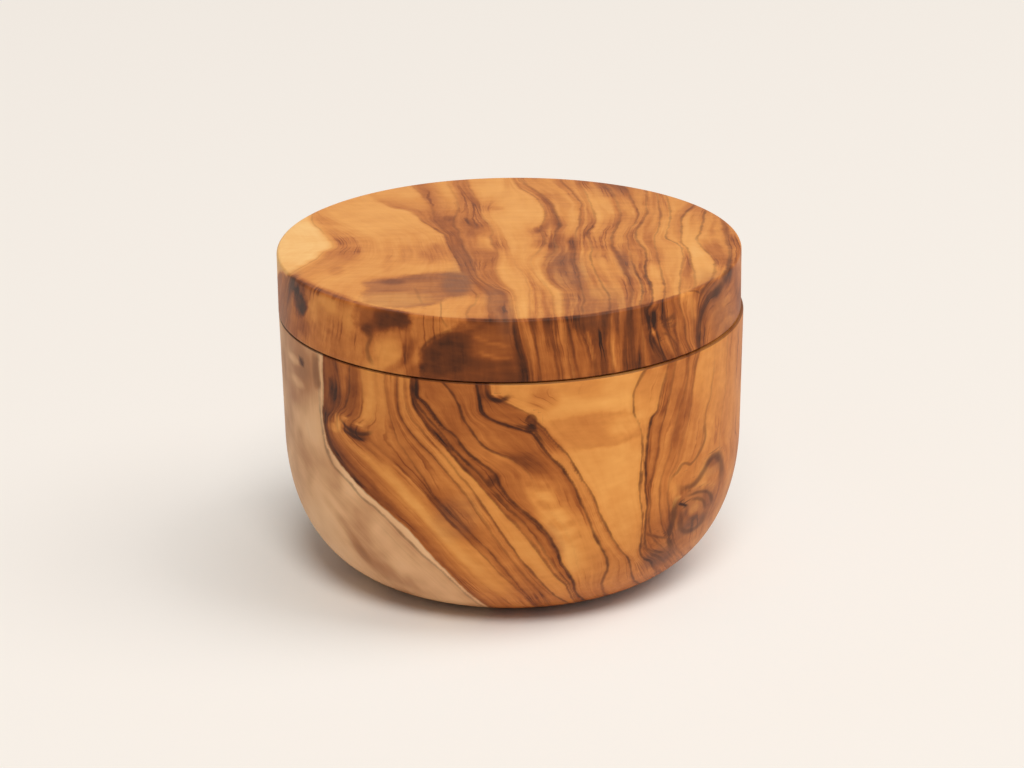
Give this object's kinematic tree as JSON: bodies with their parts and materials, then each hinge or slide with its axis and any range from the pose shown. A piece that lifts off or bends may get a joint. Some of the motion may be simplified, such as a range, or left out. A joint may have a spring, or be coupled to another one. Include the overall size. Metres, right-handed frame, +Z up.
{
  "type": "salt keeper",
  "caption": "Round turned-wood salt keeper: a deep bowl with a rounded bottom under a thick flat lid that swivels on a hidden rear pin, shuts on magnets and lifts off.",
  "frame": {"origin": "centre of the flat foot, on the surface that the keeper stands on", "axes": "+Z up, -Y towards the front where the closing magnets meet, +Y towards the pivot, +X to the right seen from the front"},
  "size_m": [0.1001, 0.1, 0.0716],
  "materials": {
    "olive_wood": "satin, oiled",
    "pin_steel": "ground",
    "bush_brass": "turned",
    "washer_nylon": "matte",
    "magnet_plating": "nickel plated"
  },
  "bodies": {
    "bowl": {"bowl": "olive_wood", "bowl_bush": "bush_brass", "pivot_washer": "washer_nylon", "bowl_magnet": "magnet_plating"},
    "pin": {"pivot_pin": "pin_steel"},
    "lid": {"lid": "olive_wood", "lid_bush": "bush_brass", "lid_magnet": "magnet_plating"}
  },
  "joints": [
    {"name": "lid_swivel", "type": "hinge", "parent": "bowl", "child": "pin", "pos_m": [0, 0.044, 0.0582], "axis": [0, 0, 1], "continuous": true},
    {"name": "lid_lift", "type": "slide", "parent": "pin", "child": "lid", "axis": [0, 0, 1], "range_m": [0, 0.025]}
  ]
}
